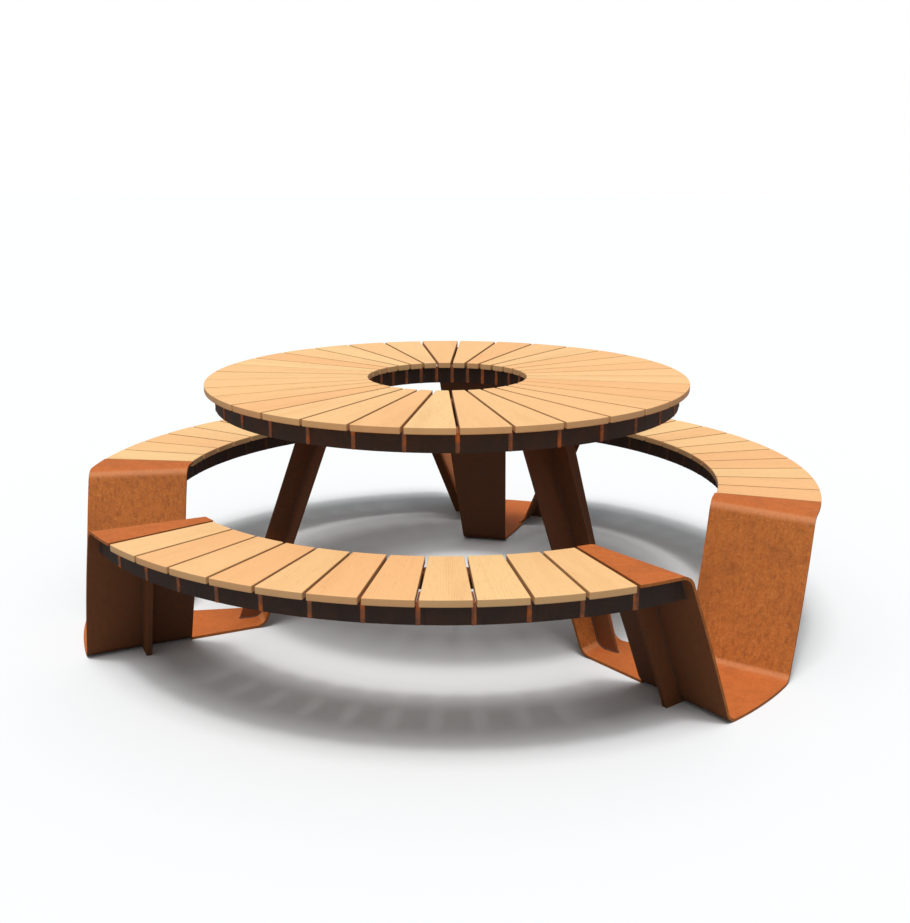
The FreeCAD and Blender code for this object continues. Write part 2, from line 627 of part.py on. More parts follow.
def make_table_bolts():
    """Bolts, spacers and nuts that hold the table legs' ribs to the fins beside them."""
    square = FreeCAD.Vector(0, -1, 0)
    fin = bar(TABLE_BOLT_RADIUS / 2, TABLE_RADIUS, FIN_THICKNESS, TOP_TURN, TABLE_BAND_LOW, UNDER_TABLE)
    grip = LEG_RIB_THICKNESS / 2 - TABLE_BOLT_RADIUS * math.tan(math.radians(TOP_TURN))
    grip += LEG_RIB_THICKNESS / 2 + FIN_THICKNESS / 2 + TABLE_BOLT_PLAY
    bolts = []
    nuts = []
    spacers = []
    for degrees in SUPPORTS.values():
        for spot in table_bolt_spots(LEG_RIB_THICKNESS / 2):
            bolts.append(spin(bolt(spot, square, grip), degrees))
            nuts.append(spin(nut(spot + square * grip, square), degrees))
            face = spot + square * LEG_RIB_THICKNESS
            sleeve = Part.makeCylinder(2 * BOLT_RADIUS, 2 * FIN_THICKNESS, face, square)
            sleeve = sleeve.cut(Part.makeCylinder(BOLT_HOLE_RADIUS, 2 * FIN_THICKNESS, face, square))
            spacers.append(spin(outermost(sleeve.cut(fin), FreeCAD.Vector(0, 1, 0)), degrees))
    save("table_bolts", bolts)
    save("table_nuts", nuts)
    save("table_bolt_spacers", spacers)


os.makedirs("parts", exist_ok=True)
make_table_top()
for bench_name, bench_degrees in BENCHES.items():
    make_bench(bench_name, bench_degrees)
support_plate = make_support_plate()
for support_name, support_degrees in SUPPORTS.items():
    make_support(support_name, support_degrees, support_plate)
make_bench_bolts()
make_table_bolts()
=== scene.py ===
import math
import random

import bmesh
import bpy
from mathutils import Matrix, Vector
from mathutils.bvhtree import BVHTree


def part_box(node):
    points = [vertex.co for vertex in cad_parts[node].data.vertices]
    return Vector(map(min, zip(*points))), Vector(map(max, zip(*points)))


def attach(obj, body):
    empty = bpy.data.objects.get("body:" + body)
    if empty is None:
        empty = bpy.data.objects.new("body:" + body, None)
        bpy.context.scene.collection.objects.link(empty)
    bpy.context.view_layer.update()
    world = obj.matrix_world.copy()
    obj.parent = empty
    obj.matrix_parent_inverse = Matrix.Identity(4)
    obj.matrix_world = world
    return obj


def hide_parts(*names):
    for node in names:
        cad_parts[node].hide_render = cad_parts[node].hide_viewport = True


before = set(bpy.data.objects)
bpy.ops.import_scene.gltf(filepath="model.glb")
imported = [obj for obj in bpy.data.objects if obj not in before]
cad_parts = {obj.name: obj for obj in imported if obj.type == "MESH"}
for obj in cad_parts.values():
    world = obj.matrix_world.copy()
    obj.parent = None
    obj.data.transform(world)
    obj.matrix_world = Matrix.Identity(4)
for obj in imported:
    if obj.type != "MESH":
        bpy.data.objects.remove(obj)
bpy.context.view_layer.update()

# Looks of a round picnic table: tapered boards on a dark steel frame, carried by three folded plates
# of weathering steel. Metres; the origin is on the floor under the middle of the table top, +Z is up
# and the rear support stands on +Y.

bl_info = {
    "name": "Round Picnic Table",
    "version": (1, 0, 0),
    "blender": (4, 5, 0),
    "location": "3D Viewport > Sidebar > Picnic Table",
    "description": "Boards, steel finishes and studio for a round picnic table with three benches",
    "category": "Object",
}

# ---- Layout of the object, as built: degrees round the table and metres ----
TABLE_BOARDS = 33
BOARDS_PER_GROUP = 11
TABLE_GROUPS = ("table_slats_left", "table_slats_front", "table_slats_right")
TABLE_PITCH = 360.0 / TABLE_BOARDS
BENCH_BOARDS = 11
BENCH_SPAN = 72.0
BENCH_PITCH = BENCH_SPAN / BENCH_BOARDS
BENCHES = {"front": -90.0, "right": 30.0, "left": 150.0}
SUPPORTS = {"rear": 90.0, "right": -30.0, "left": 210.0}
TOP_TURN = -1.0                     # the top's gaps lie this far round from the supports' centre lines
BOARD_GAP = 0.009
FIN_THICKNESS = 0.008
BODY = "root"

# ---- Painted shade on the steel: each pair is where a zone starts and where it ends ----
TOP_SHADOW_RADII = (0.56, 0.68)      # painted shadow of the table top on what is nearer the middle
TOP_SHADOW_HEIGHTS = (0.16, 0.30)    # and higher up than this
OUTSIDE_RADII = (0.94, 1.20)        # the painted shade on undersides gets lighter towards the outside
INSIDE_BENCH_RADII = (0.90, 1.00)   # painted shade on the benches' inner fins, which are nearer the middle
BENCH_FRAME_HEIGHTS = (0.48, 0.56)  # the benches' frames end below, the table's starts above
RIB_SHADE = 0.88                  # least painted shade on the ribs, where 1 is full shade

# ---- Making of boards, cut edges and weld beads ----
TABLE_SEED = 11
BENCH_SEED = 29
WELD_SEED = 47
END_STEPS = 8                       # steps of a board's curved end
LOG_REACH = 9.0                     # boards are cut anywhere within this much of a log
PITH_ASIDE = (0.03, 0.10)           # least and greatest distance of the log's middle beside a board
PITH_BELOW = (0.02, 0.06)           # and below it
GRAIN_SLOPE = 0.02                  # most sideways travel of the grain per unit of length
TONE_MIDDLE = 0.45                  # usual share of the pale tone in a board, and its spread
TONE_SPREAD = 0.36
SHARP_BOARD_EDGE = math.radians(30)
SHARP_CUT_EDGE = math.radians(40)
SHARP_WELD_EDGE = math.radians(25)
FASTENER_EDGE = 0.0004              # rounding of bolts, nuts and screws
SAME_SPOT = 0.00002                 # corners this near are one corner
CONTACT_REACH = 0.0008              # an edge this near another piece touches it
SHORTEST_BEAD = 4                   # points of the shortest line that gets a bead
BEAD_WIDEST = 1.12                  # share of a bead's usual width, as are the next two
SUPPORT_BEAD_LEAST = 0.78
FIN_BEAD_LEAST = 0.80
BEAD_CLEARANCE = 1.5                # bead radii between a bead's middle and the floor
FIN_BEAD_INSET = 1.2                # bead radii between a fin bead's end and the band's edge

# ---- Colours that belong to one finish and aren't settings ----
WOOD_DASH = (0.40, 0.17, 0.055)
WOOD_PORE = (0.30, 0.13, 0.05)
# Mottle and speck tints inside the painted shade on the steel
SHADE_MOTTLE_TINT = (0.060, 0.030, 0.019)
SHADE_SPECK_TINT = (0.035, 0.017, 0.011)
BAND_PATCH = (0.085, 0.036, 0.020)
BAND_SPECK = (0.16, 0.06, 0.028)
BAND_DRIP = (0.022, 0.014, 0.011)
ZINC_DARK = (0.42, 0.43, 0.44)
ZINC_PALE = (0.58, 0.59, 0.60)
ZINC_DUST = (0.22, 0.17, 0.13)
BEAD_BROWN = (0.12, 0.05, 0.026)
BEAD_DARK = (0.05, 0.026, 0.017)
FLOOR_SEEN = (0.80, 0.80, 0.80)
FLOOR_BOUNCE = (0.36, 0.36, 0.37)
BACKDROP = (1.0, 1.0, 1.0)

# ---- Floor and lamps ----
FLOOR_REACH = 60.0                  # from the middle to the floor's sides
FLOOR_DROP = 0.0005                 # from the feet to the floor, which keeps the two faces apart
LAMP_HEIGHT = 4.0


# ---- Settings that a user would change ----
class BoardSettings(bpy.types.PropertyGroup):
    """Shape and colours of the wooden boards."""

    edge_radius: bpy.props.FloatProperty(
        name="Edge radius", description="Rounding of the boards' edges",
        default=0.0024, min=0.0005, max=0.006, unit="LENGTH")
    height_spread: bpy.props.FloatProperty(
        name="Height spread", description="How far a board may sit below its neighbours",
        default=0.0005, min=0.0, max=0.002, unit="LENGTH")
    pale_tone: bpy.props.FloatVectorProperty(
        name="Pale tone", description="Colour of the yellowish boards",
        default=(0.88, 0.56, 0.255), min=0.0, max=1.0, subtype="COLOR")
    warm_tone: bpy.props.FloatVectorProperty(
        name="Warm tone", description="Colour of the pinkish boards",
        default=(0.87, 0.47, 0.205), min=0.0, max=1.0, subtype="COLOR")
    grain_tone: bpy.props.FloatVectorProperty(
        name="Grain tone", description="Colour of the dense late wood in the growth rings",
        default=(0.60, 0.27, 0.095), min=0.0, max=1.0, subtype="COLOR")
    # Tone of the sawn sides and ends, which also carries painted shade on all upright faces.
    sawn_and_shade_tone: bpy.props.FloatVectorProperty(
        name="Sawn tone", description="Colour of the sawn sides and ends",
        default=(0.42, 0.22, 0.095), min=0.0, max=1.0, subtype="COLOR")
    ring_spacing: bpy.props.FloatProperty(
        name="Ring spacing", description="Distance between growth rings",
        default=0.0045, min=0.001, max=0.02, unit="LENGTH")


class SteelSettings(bpy.types.PropertyGroup):
    """Colours of the steel parts."""

    open_rust: bpy.props.FloatVectorProperty(
        name="Open rust", description="Patina on faces that the rain reaches",
        default=(0.52, 0.128, 0.026), min=0.0, max=1.0, subtype="COLOR")
    steep_rust: bpy.props.FloatVectorProperty(
        name="Steep rust", description="Browner patina on leaning and upright faces",
        default=(0.50, 0.144, 0.026), min=0.0, max=1.0, subtype="COLOR")
    pale_rust: bpy.props.FloatVectorProperty(
        name="Pale rust", description="Fresh, lighter specks in the patina",
        default=(0.62, 0.23, 0.060), min=0.0, max=1.0, subtype="COLOR")
    # Painted highlight: lighter colour along the bends of the folds, where the light's sheen falls.
    painted_fold_highlight: bpy.props.FloatVectorProperty(
        name="Rubbed rust", description="Lighter patina along the crowns and hollows of the folds",
        default=(0.68, 0.26, 0.11), min=0.0, max=1.0, subtype="COLOR")
    old_rust: bpy.props.FloatVectorProperty(
        name="Old rust", description="Dark, dense patches in the patina",
        default=(0.20, 0.052, 0.013), min=0.0, max=1.0, subtype="COLOR")
    # Colour of the painted shade on undersides, inner faces and under the table top
    painted_shade_rust: bpy.props.FloatVectorProperty(
        name="Sheltered rust", description="Patina on undersides and inner faces",
        default=(0.124, 0.046, 0.018), min=0.0, max=1.0, subtype="COLOR")
    band: bpy.props.FloatVectorProperty(
        name="Band", description="Dark bands under the boards",
        default=(0.045, 0.026, 0.018), min=0.0, max=1.0, subtype="COLOR")
    fin: bpy.props.FloatVectorProperty(
        name="Fin", description="Upright fins between the boards",
        default=(0.21, 0.085, 0.045), min=0.0, max=1.0, subtype="COLOR")
    edge_radius: bpy.props.FloatProperty(
        name="Edge radius", description="Rounding of the cut edges of the plates",
        default=0.0008, min=0.0001, max=0.003, unit="LENGTH")
    weld_radius: bpy.props.FloatProperty(
        name="Weld radius", description="Half the width of a weld bead",
        default=0.0032, min=0.001, max=0.008, unit="LENGTH")
    fin_weld_radius: bpy.props.FloatProperty(
        name="Fin weld radius", description="Half the width of the beads beside the fins",
        default=0.0022, min=0.001, max=0.005, unit="LENGTH")
    weld_step: bpy.props.FloatProperty(
        name="Weld step", description="Distance between the ripples of a weld bead",
        default=0.0045, min=0.002, max=0.02, unit="LENGTH")


class StudioSettings(bpy.types.PropertyGroup):
    """Camera, light and floor."""

    camera_spot: bpy.props.FloatVectorProperty(
        name="Camera", description="Where the camera stands",
        default=(0.8318, -3.5223, 1.404), subtype="XYZ", unit="LENGTH")
    camera_heading: bpy.props.FloatProperty(
        name="Heading", description="Turn of the camera about the vertical, from +Y",
        default=math.radians(12.89), subtype="ANGLE")
    camera_pitch: bpy.props.FloatProperty(
        name="Pitch", description="Tilt of the camera above the horizon",
        default=math.radians(-14.39), subtype="ANGLE")
    lens: bpy.props.FloatProperty(
        name="Lens", description="Focal length on a 36 mm sensor", default=44.22, subtype="DISTANCE_CAMERA")
    sun_strength: bpy.props.FloatProperty(
        name="Key light", description="Strength of the overhead light", default=2.85, min=0.0)
    sun_tilt: bpy.props.FloatProperty(
        name="Key tilt", description="Lean of the overhead light towards the front",
        default=math.radians(16.6), subtype="ANGLE")
    sun_angle: bpy.props.FloatProperty(
        name="Key softness", description="Angle that the overhead light fills",
        default=math.radians(28.0), subtype="ANGLE")
    core_share: bpy.props.FloatProperty(
        name="Core share", description="Share of the overhead light that comes from its small bright core",
        default=0.27, min=0.0, max=1.0)
    core_angle: bpy.props.FloatProperty(
        name="Core softness", description="Angle that the bright core fills",
        default=math.radians(6.0), subtype="ANGLE")
    sky_strength: bpy.props.FloatProperty(
        name="Fill light", description="Strength of the soft light from all round", default=0.40, min=0.0)
    sky_colour: bpy.props.FloatVectorProperty(
        name="Fill colour", description="Colour of the soft light from all round",
        default=(0.92, 1.0, 1.04), min=0.0, max=2.0, subtype="COLOR")


# ---- Shader recipes ----
class Value:
    """A number in a node tree. Arithmetic on it adds Math nodes."""

    def __init__(self, recipe, socket):
        self.recipe = recipe
        self.socket = socket

    def math(self, operation, *values):
        """One Math node."""
        node = self.recipe.node("ShaderNodeMath", {"operation": operation}, dict(enumerate(values)))
        return Value(self.recipe, node.outputs[0])

    def __add__(self, other):
        return self.math("ADD", self, other)

    def __radd__(self, other):
        return self.math("ADD", other, self)

    def __sub__(self, other):
        return self.math("SUBTRACT", self, other)

    def __rsub__(self, other):
        return self.math("SUBTRACT", other, self)

    def __mul__(self, other):
        return self.math("MULTIPLY", self, other)

    def __rmul__(self, other):
        return self.math("MULTIPLY", other, self)

    def __truediv__(self, other):
        return self.math("DIVIDE", self, other)

    def root(self):
        """Square root."""
        return self.math("SQRT", self)

    def part(self):
        """What is left after the whole number."""
        return self.math("FRACT", self)

    def most(self, other):
        """The larger of two values."""
        return self.math("MAXIMUM", self, other)

    def rise(self, low, high):
        """0 below low, 1 above high and a smooth step between."""
        node = self.recipe.node(
            "ShaderNodeMapRange", {"interpolation_type": "SMOOTHSTEP"},
            {"Value": self, "From Min": low, "From Max": high})
        return Value(self.recipe, node.outputs[0])


class Recipe:
    """The node tree of one material or world."""

    def __init__(self, owner):
        owner.use_nodes = True
        self.tree = owner.node_tree
        self.tree.nodes.clear()

    def node(self, kind, settings=None, sockets=None):
        """Add a node: its settings first, then the values or links of its sockets."""
        made = self.tree.nodes.new(kind)
        for key, value in (settings or {}).items():
            setattr(made, key, value)
        for key, value in (sockets or {}).items():
            target = made.inputs[key]
            if isinstance(value, Value):
                self.tree.links.new(value.socket, target)
            elif isinstance(value, bpy.types.NodeSocket):
                self.tree.links.new(value, target)
            else:
                target.default_value = value
        return made

    def place(self):
        """Position in the object's own frame, in metres."""
        return self.node("ShaderNodeTexCoord").outputs["Object"]

    def stored(self, name):
        """A vector stored on the mesh."""
        return self.node("ShaderNodeAttribute", {"attribute_name": name}).outputs["Vector"]

    def stored_number(self, name):
        """A number stored on the mesh."""
        return Value(self, self.node("ShaderNodeAttribute", {"attribute_name": name}).outputs["Fac"])

    def facing(self):
        """The surface's own direction."""
        return self.split(self.node("ShaderNodeNewGeometry").outputs["Normal"])

    def split(self, vector):
        """A vector's three numbers."""
        parts = self.node("ShaderNodeSeparateXYZ", None, {0: vector}).outputs
        return [Value(self, part) for part in parts]

    def noise(self, vector, scale, detail=2.0, roughness=0.5, distortion=0.0):
        """Soft noise, mostly between 0.3 and 0.7."""
        node = self.node("ShaderNodeTexNoise", None, {
            "Vector": vector, "Scale": scale, "Detail": detail, "Roughness": roughness,
            "Distortion": distortion})
        return Value(self, node.outputs["Fac"])

    def streaks(self, vector, scales, detail=2.0, roughness=0.5):
        """Soft noise with its own scale along each axis."""
        node = self.node("ShaderNodeVectorMath", {"operation": "MULTIPLY"}, {0: vector, 1: scales})
        return self.noise(node.outputs[0], 1.0, detail, roughness)

    def cells(self, vector, scale):
        """Distance to the nearest of many scattered points."""
        node = self.node("ShaderNodeTexVoronoi", None, {"Vector": vector, "Scale": scale})
        return Value(self, node.outputs["Distance"])

    def mix(self, share, first, second):
        """A colour between two colours."""
        node = self.node(
            "ShaderNodeMix", {"data_type": "RGBA"},
            {0: share, 6: opaque(first), 7: opaque(second)})
        return node.outputs[2]

    def finish(self, colour, roughness, height, depth, metallic=0.0, specular=0.5):
        """Feed one Principled shader, with a bump of this depth in metres."""
        bump = self.node("ShaderNodeBump", None, {"Strength": 1.0, "Distance": depth, "Height": height})
        shader = self.node("ShaderNodeBsdfPrincipled", None, {
            "Base Color": opaque(colour), "Roughness": roughness, "Metallic": metallic,
            "Specular IOR Level": specular, "Normal": bump.outputs[0]})
        self.node("ShaderNodeOutputMaterial", None, {"Surface": shader.outputs[0]})

    def blend_for_camera(self, output, lit_by, seen):
        """One shader for the light that bounces, and another for what the camera sees."""
        camera_ray = self.node("ShaderNodeLightPath").outputs["Is Camera Ray"]
        blend = self.node("ShaderNodeMixShader", None, {
            0: camera_ray, 1: lit_by.outputs[0], 2: seen.outputs[0]})
        self.node(output, None, {"Surface": blend.outputs[0]})


def opaque(colour):
    """A colour socket as it is, or three numbers with full opacity."""
    if isinstance(colour, bpy.types.NodeSocket):
        return colour
    return (*colour[:3], 1.0)


def wood_finish():
    """Planed softwood: straight growth rings as a solid figure, fibres, and a tone that differs by board."""
    look = bpy.context.scene.picnic_boards
    recipe = Recipe(bpy.data.materials.new("planed_softwood"))
    place = recipe.stored("grain_place")
    pith_side, pith_depth, _ = recipe.split(recipe.stored("pith_place"))
    tone = recipe.stored_number("board_tone")
    wander = recipe.streaks(place, (1.3, 4.0, 4.0)) - 0.5
    ripple = recipe.streaks(place, (5.0, 60.0, 60.0)) - 0.5
    side = pith_side + wander * 0.03
    distance = (side * side + pith_depth * pith_depth).root() + ripple * 0.002
    spacing = recipe.streaks(place, (0.6, 8.0, 8.0), detail=1.0) - 0.5
    ring = (distance / look.ring_spacing + spacing * 3.0).part()
    late = ring.rise(0.25, 0.92) * (1 - ring.rise(0.93, 1.0))
    fibre = recipe.streaks(place, (12.0, 520.0, 520.0), detail=3.0, roughness=0.6)
    dash = recipe.streaks(place, (26.0, 300.0, 300.0), roughness=0.55).rise(0.60, 0.74)
    pore = recipe.streaks(place, (60.0, 1500.0, 1500.0), detail=1.0).rise(0.64, 0.78)
    cloud = recipe.streaks(place, (2.5, 16.0, 16.0), detail=3.0, roughness=0.55)
    colour = recipe.mix(tone, look.warm_tone, look.pale_tone)
    colour = recipe.mix(late * cloud.rise(0.25, 0.75) * 0.20, colour, look.grain_tone)
    colour = recipe.mix(fibre.rise(0.45, 0.75) * 0.16, colour, look.grain_tone)
    colour = recipe.mix(cloud.rise(0.50, 0.72) * 0.12, colour, look.grain_tone)
    colour = recipe.mix(dash * 0.24, colour, WOOD_DASH)
    colour = recipe.mix(pore * 0.30, colour, WOOD_PORE)
    # Upright faces are mixed halfway towards a darker tone: partly the sawn faces' own colour, partly
    # painted shade.
    upright = 1 - recipe.facing()[2].rise(0.25, 0.75)
    colour = recipe.mix(upright * 0.5, colour, look.sawn_and_shade_tone)
    roughness = 0.50 + fibre * 0.18 + late * 0.06
    height = fibre * 0.55 + late * 0.35 - pore * 0.5 - dash * 0.3
    recipe.finish(colour, roughness, height, depth=0.0003, specular=0.3)


def rust_finish(name, least_shade=0.0):
    """Weathering steel: mottled orange patina, with painted shade in dark brown on undersides, under the
    table top and on the ribs.

    The second argument is the least painted shade anywhere on the piece, from 0 to 1.
    """
    look = bpy.context.scene.picnic_steel
    recipe = Recipe(bpy.data.materials.new(name))
    place = recipe.place()
    normal = recipe.facing()
    x, y, z = recipe.split(place)
    radius = (x * x + y * y).root()
    patch = recipe.noise(place, 9.0, detail=4.0, roughness=0.6, distortion=0.4)
    blotch = recipe.noise(place, 46.0, detail=4.0, roughness=0.6, distortion=0.6)
    mottle = recipe.noise(place, 130.0, detail=4.0, roughness=0.65, distortion=0.3)
    speck = recipe.noise(place, 340.0, detail=3.0, roughness=0.6)
    grit = recipe.noise(place, 1400.0)
    streak = recipe.streaks(place, (110.0, 110.0, 14.0), detail=3.0, roughness=0.6)
    pits = 1 - recipe.cells(place, 150.0).rise(0.06, 0.30)
    level = normal[2].rise(0.62, 0.93)
    steep = 1 - level
    colour = recipe.mix(level, look.steep_rust, look.open_rust)
    colour = recipe.mix(mottle.rise(0.46, 0.70) * (0.35 + steep * 0.25), colour, look.pale_rust)
    colour = recipe.mix(blotch.rise(0.44, 0.68) * (0.16 + steep * 0.10), colour, look.old_rust)
    colour = recipe.mix(patch.rise(0.45, 0.75) * (0.22 + steep * 0.14), colour, look.old_rust)
    colour = recipe.mix(speck.rise(0.54, 0.72) * (0.24 + steep * 0.36), colour, look.old_rust)
    colour = recipe.mix(pits * blotch.rise(0.46, 0.60) * (0.35 + steep * 0.5), colour, look.old_rust)
    colour = recipe.mix(streak.rise(0.48, 0.72) * steep * 0.46, colour, look.old_rust)
    colour = recipe.mix(grit.rise(0.56, 0.70) * 0.25, colour, look.pale_rust)
    # Painted highlight: faces between level and steep, on the bends of the folds, are mixed towards a
    # lighter, pinker colour.
    fold_highlight = normal[2].rise(0.40, 0.60) * (1 - normal[2].rise(0.74, 0.92))
    colour = recipe.mix(fold_highlight * (0.35 + mottle * 0.4), colour, look.painted_fold_highlight)
    # Painted shade: downward faces, what lies under the table top and the ribs are mixed towards a mottled
    # dark brown, a little lighter towards the outside.
    under = 1 - (normal[2] + (patch - 0.5) * 0.25).rise(-0.22, 0.12)
    ragged_radius = radius + (patch - 0.5) * 0.1
    top_shadow = (1 - ragged_radius.rise(*TOP_SHADOW_RADII)) * z.rise(*TOP_SHADOW_HEIGHTS)
    outside = radius.rise(*OUTSIDE_RADII)
    shade_share = under.most(top_shadow).most(least_shade) * (1 - outside * 0.20)
    shade_colour = recipe.mix(blotch.rise(0.42, 0.7) * 0.45, look.painted_shade_rust, look.old_rust)
    shade_colour = recipe.mix(mottle.rise(0.45, 0.7) * 0.35, shade_colour, SHADE_MOTTLE_TINT)
    shade_colour = recipe.mix(speck.rise(0.5, 0.7) * 0.4, shade_colour, SHADE_SPECK_TINT)
    colour = recipe.mix(shade_share * 0.95, colour, shade_colour)
    roughness = 0.58 + mottle * 0.22 + speck * 0.08
    height = mottle * 0.35 + blotch * 0.25 + speck * 0.30 + grit * 0.2 - pits * 0.3
    recipe.finish(colour, roughness, height, depth=0.0006, specular=0.25)


def band_finish():
    """Dark brown steel of the bands, tabs and cheeks under the boards."""
    look = bpy.context.scene.picnic_steel
    recipe = Recipe(bpy.data.materials.new("dark_band_steel"))
    place = recipe.place()
    patch = recipe.noise(place, 14.0, detail=4.0, roughness=0.6)
    speck = recipe.noise(place, 300.0, detail=3.0, roughness=0.6)
    drip = recipe.streaks(place, (80.0, 80.0, 6.0), detail=3.0, roughness=0.6)
    colour = recipe.mix(patch.rise(0.42, 0.7) * 0.6, look.band, BAND_PATCH)
    colour = recipe.mix(speck.rise(0.55, 0.72) * 0.35, colour, BAND_SPECK)
    colour = recipe.mix(drip.rise(0.55, 0.75) * 0.4, colour, BAND_DRIP)
    roughness = 0.62 + patch * 0.22
    height = speck * 0.6 + patch * 0.4
    recipe.finish(colour, roughness, height, depth=0.0003, specular=0.3)


def fin_finish():
    """Rust-brown steel of the fins, their beads, the end ribs and the end plates.

    It has painted shade on the inner side of the benches, under the table top.
    """
    look = bpy.context.scene.picnic_steel
    recipe = Recipe(bpy.data.materials.new("fin_steel"))
    place = recipe.place()
    x, y, z = recipe.split(place)
    radius = (x * x + y * y).root()
    patch = recipe.noise(place, 30.0, detail=4.0, roughness=0.6)
    speck = recipe.noise(place, 420.0, detail=3.0, roughness=0.6)
    colour = recipe.mix(patch.rise(0.4, 0.68), look.fin, look.open_rust)
    colour = recipe.mix(speck.rise(0.5, 0.7) * 0.5, colour, look.old_rust)
    # Painted shade: fins on the inner side of the benches are mixed towards the dark band colour.
    inside_bench_shade = (1 - radius.rise(*INSIDE_BENCH_RADII)) * (1 - z.rise(*BENCH_FRAME_HEIGHTS))
    colour = recipe.mix(inside_bench_shade * 0.75, colour, look.band)
    roughness = 0.70 + patch * 0.2
    height = speck * 0.6 + patch * 0.4
    recipe.finish(colour, roughness, height, depth=0.0004, specular=0.3)


def zinc_finish():
    """Zinc-plated fasteners with a faint spangle."""
    recipe = Recipe(bpy.data.materials.new("zinc_plate"))
    place = recipe.place()
    spangle = recipe.cells(place, 700.0)
    dust = recipe.noise(place, 260.0, detail=3.0, roughness=0.6)
    colour = recipe.mix(spangle.rise(0.1, 0.5), ZINC_DARK, ZINC_PALE)
    colour = recipe.mix(dust.rise(0.5, 0.7) * 0.5, colour, ZINC_DUST)
    roughness = 0.36 + dust * 0.3
    recipe.finish(colour, roughness, dust, depth=0.0001, metallic=0.85)


def weld_finish():
    """Brown weld beads of the supports."""
    recipe = Recipe(bpy.data.materials.new("weld_bead"))
    speck = recipe.noise(recipe.place(), 500.0, detail=3.0, roughness=0.6)
    colour = recipe.mix(speck.rise(0.4, 0.7), BEAD_BROWN, BEAD_DARK)
    roughness = 0.55 + speck * 0.3
    recipe.finish(colour, roughness, speck, depth=0.0002, specular=0.4)


# ---- Boards ----
def polar(radius, degrees, z=0.0):
    """The point at this radius, azimuth and height."""
    angle = math.radians(degrees)
    return Vector((radius * math.cos(angle), radius * math.sin(angle), z))


def radii(node):
    """Least and greatest distance of a CAD node from the table's axis."""
    reach = [vertex.co.xy.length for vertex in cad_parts[node].data.vertices]
    return min(reach), max(reach)


def board_outline(inner, outer, degrees, pitch):
    """Plan of one tapered board, anticlockwise, with its ends curved about the table's axis."""
    points = []
    for radius, direction in ((outer, 1), (inner, -1)):
        half = pitch / 2 - math.degrees(math.asin(BOARD_GAP / 2 / radius))
        for k in range(END_STEPS + 1):
            turn = -half + 2 * half * k / END_STEPS
            points.append(polar(radius, degrees + direction * turn))
    return points


def board_mesh(name, outline, low, high, edge_radius):
    """The outline raised from low to high, with rounded edges."""
    shape = bmesh.new()
    base = [shape.verts.new((p.x, p.y, low)) for p in outline]
    face = shape.faces.new(base)
    face.normal_flip()
    raised = bmesh.ops.extrude_face_region(shape, geom=[face])
    lifted = [item for item in raised["geom"] if isinstance(item, bmesh.types.BMVert)]
    bmesh.ops.translate(shape, verts=lifted, vec=(0, 0, high - low))
    bmesh.ops.recalc_face_normals(shape, faces=shape.faces)
    sharp = [edge for edge in shape.edges if edge.calc_face_angle(0.0) > SHARP_BOARD_EDGE]
    bmesh.ops.bevel(shape, geom=sharp, offset=edge_radius, offset_type="OFFSET",
                    segments=3, profile=0.5, affect="EDGES", clamp_overlap=True)
    for face in shape.faces:
        face.smooth = True
    mesh = bpy.data.meshes.new(name)
    shape.to_mesh(mesh)
    shape.free()
    return mesh


def mark_grain(mesh, low, degrees, chance):
    """Store each corner's place in the log, its place beside the pith, and the board's tone."""
    turn = Matrix.Rotation(-math.radians(degrees), 3, "Z")
    offset = Vector([chance.uniform(0, LOG_REACH) for _ in range(3)])
    pith = Vector((chance.choice((-1, 1)) * chance.uniform(*PITH_ASIDE), -chance.uniform(*PITH_BELOW)))
    slope = chance.uniform(-GRAIN_SLOPE, GRAIN_SLOPE)
    places = []
    piths = []
    for vertex in mesh.vertices:
        local = turn @ vertex.co
        places += [local.x + offset.x, local.y + offset.y, local.z + offset.z]
        piths += [local.y - pith.x + local.x * slope, local.z - low - pith.y, 0.0]
    mesh.attributes.new("grain_place", "FLOAT_VECTOR", "POINT").data.foreach_set("vector", places)
    mesh.attributes.new("pith_place", "FLOAT_VECTOR", "POINT").data.foreach_set("vector", piths)
    tone = [min(1.0, max(0.0, chance.gauss(TONE_MIDDLE, TONE_SPREAD)))] * len(mesh.vertices)
    mesh.attributes.new("board_tone", "FLOAT", "POINT").data.foreach_set("value", tone)


def lay_board(name, node, degrees, pitch, chance):
    """One board in the place of the CAD slat that it stands for."""
    look = bpy.context.scene.picnic_boards
    drop = chance.uniform(0, look.height_spread)
    low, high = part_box(node)
    outline = board_outline(*radii(node), degrees, pitch)
    mesh = board_mesh(name, outline, low.z, high.z - drop, look.edge_radius)
    mark_grain(mesh, low.z, degrees, chance)
    mesh.materials.append(bpy.data.materials["planed_softwood"])
    piece = bpy.data.objects.new(name, mesh)
    bpy.context.scene.collection.objects.link(piece)
    shade_evenly(piece)
    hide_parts(node)
    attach(piece, BODY)


def shade_evenly(piece):
    """Keep flat faces flat beside the rounded edges."""
    weighted = piece.modifiers.new("even_shading", "WEIGHTED_NORMAL")
    weighted.keep_sharp = True


class PICNIC_OT_table_boards(bpy.types.Operator):
    """Lay the tapered boards of the table top."""

    bl_idname = "picnic.table_boards"
    bl_label = "Table boards"

    def execute(self, context):
        chance = random.Random(TABLE_SEED)
        for k in range(TABLE_BOARDS):
            node = TABLE_GROUPS[k // BOARDS_PER_GROUP]
            degrees = SUPPORTS["rear"] + TOP_TURN + (k + 0.5) * TABLE_PITCH
            lay_board(f"table_board_{k + 1:02d}", node, degrees, TABLE_PITCH, chance)
        return {"FINISHED"}


